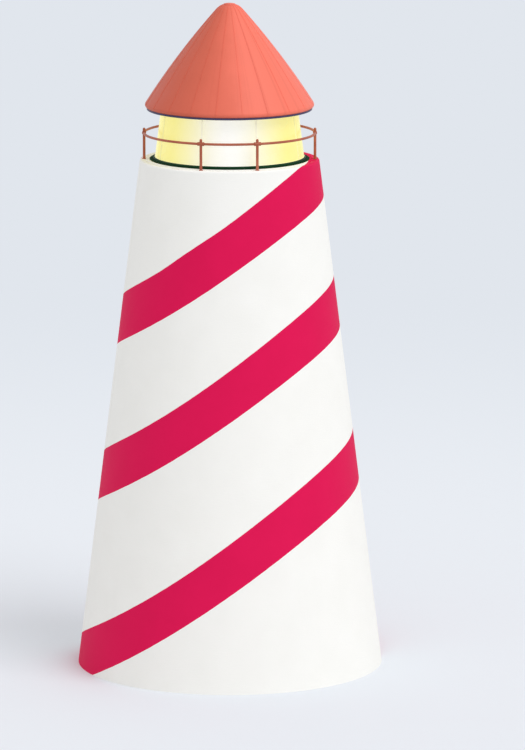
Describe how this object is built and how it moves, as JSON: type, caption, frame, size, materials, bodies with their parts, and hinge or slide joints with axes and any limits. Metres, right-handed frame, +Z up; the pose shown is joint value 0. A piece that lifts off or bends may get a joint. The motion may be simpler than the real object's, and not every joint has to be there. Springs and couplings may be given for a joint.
{
  "type": "lighthouse",
  "caption": "Tapering round masonry lighthouse with a spiral band, railed gallery, opal-glazed lantern and cone roof.",
  "frame": {"origin": "on the tower's axis at ground level", "axes": "+Z up along the tower's axis, -Y is the front, +X is to the right seen from the front"},
  "size_m": [12.26, 12.26, 26.6869],
  "materials": {
    "tower_limewash": "matt limewash over render, with a crimson painted spiral",
    "gallery_stone": "matt limewashed concrete",
    "walkway_white": "matt deck paint on a thin sheet, with a dark green margin along the kerb",
    "kerb_green": "gloss paint on a steel ring",
    "opal_glass": "milky curved glass, lit through",
    "glazing_bar_cream": "gloss paint",
    "lantern_head_cream": "gloss paint",
    "soffit_boards": "painted boards",
    "drip_edge_indigo": "gloss paint",
    "roof_salmon": "satin paint on sheet metal",
    "roof_cap_salmon": "satin paint on sheet metal",
    "railing_brown": "satin paint on steel tube"
  },
  "bodies": {
    "root": {"tower_wall_1": "tower_limewash", "tower_wall_2": "tower_limewash", "tower_wall_3": "tower_limewash", "tower_wall_4": "tower_limewash", "tower_wall_5": "tower_limewash", "tower_wall_6": "tower_limewash", "gallery_slab": "gallery_stone", "gallery_walkway": "walkway_white", "lantern_kerb": "kerb_green", "lantern_pane_1": "opal_glass", "lantern_pane_2": "opal_glass", "lantern_pane_3": "opal_glass", "lantern_pane_4": "opal_glass", "lantern_pane_5": "opal_glass", "lantern_pane_6": "opal_glass", "lantern_pane_7": "opal_glass", "lantern_pane_8": "opal_glass", "glazing_bar_1": "glazing_bar_cream", "glazing_bar_2": "glazing_bar_cream", "glazing_bar_3": "glazing_bar_cream", "glazing_bar_4": "glazing_bar_cream", "glazing_bar_5": "glazing_bar_cream", "glazing_bar_6": "glazing_bar_cream", "glazing_bar_7": "glazing_bar_cream", "glazing_bar_8": "glazing_bar_cream", "lantern_head": "lantern_head_cream", "roof_soffit": "soffit_boards", "drip_edge": "drip_edge_indigo", "roof_quarter_1": "roof_salmon", "roof_quarter_2": "roof_salmon", "roof_quarter_3": "roof_salmon", "roof_quarter_4": "roof_salmon", "roof_cap": "roof_cap_salmon", "rail_post_1": "railing_brown", "rail_post_2": "railing_brown", "rail_post_3": "railing_brown", "rail_post_4": "railing_brown", "rail_post_5": "railing_brown", "rail_post_6": "railing_brown", "handrail_1": "railing_brown", "handrail_2": "railing_brown", "handrail_3": "railing_brown", "handrail_4": "railing_brown", "handrail_5": "railing_brown", "handrail_6": "railing_brown"}
  },
  "joints": []
}
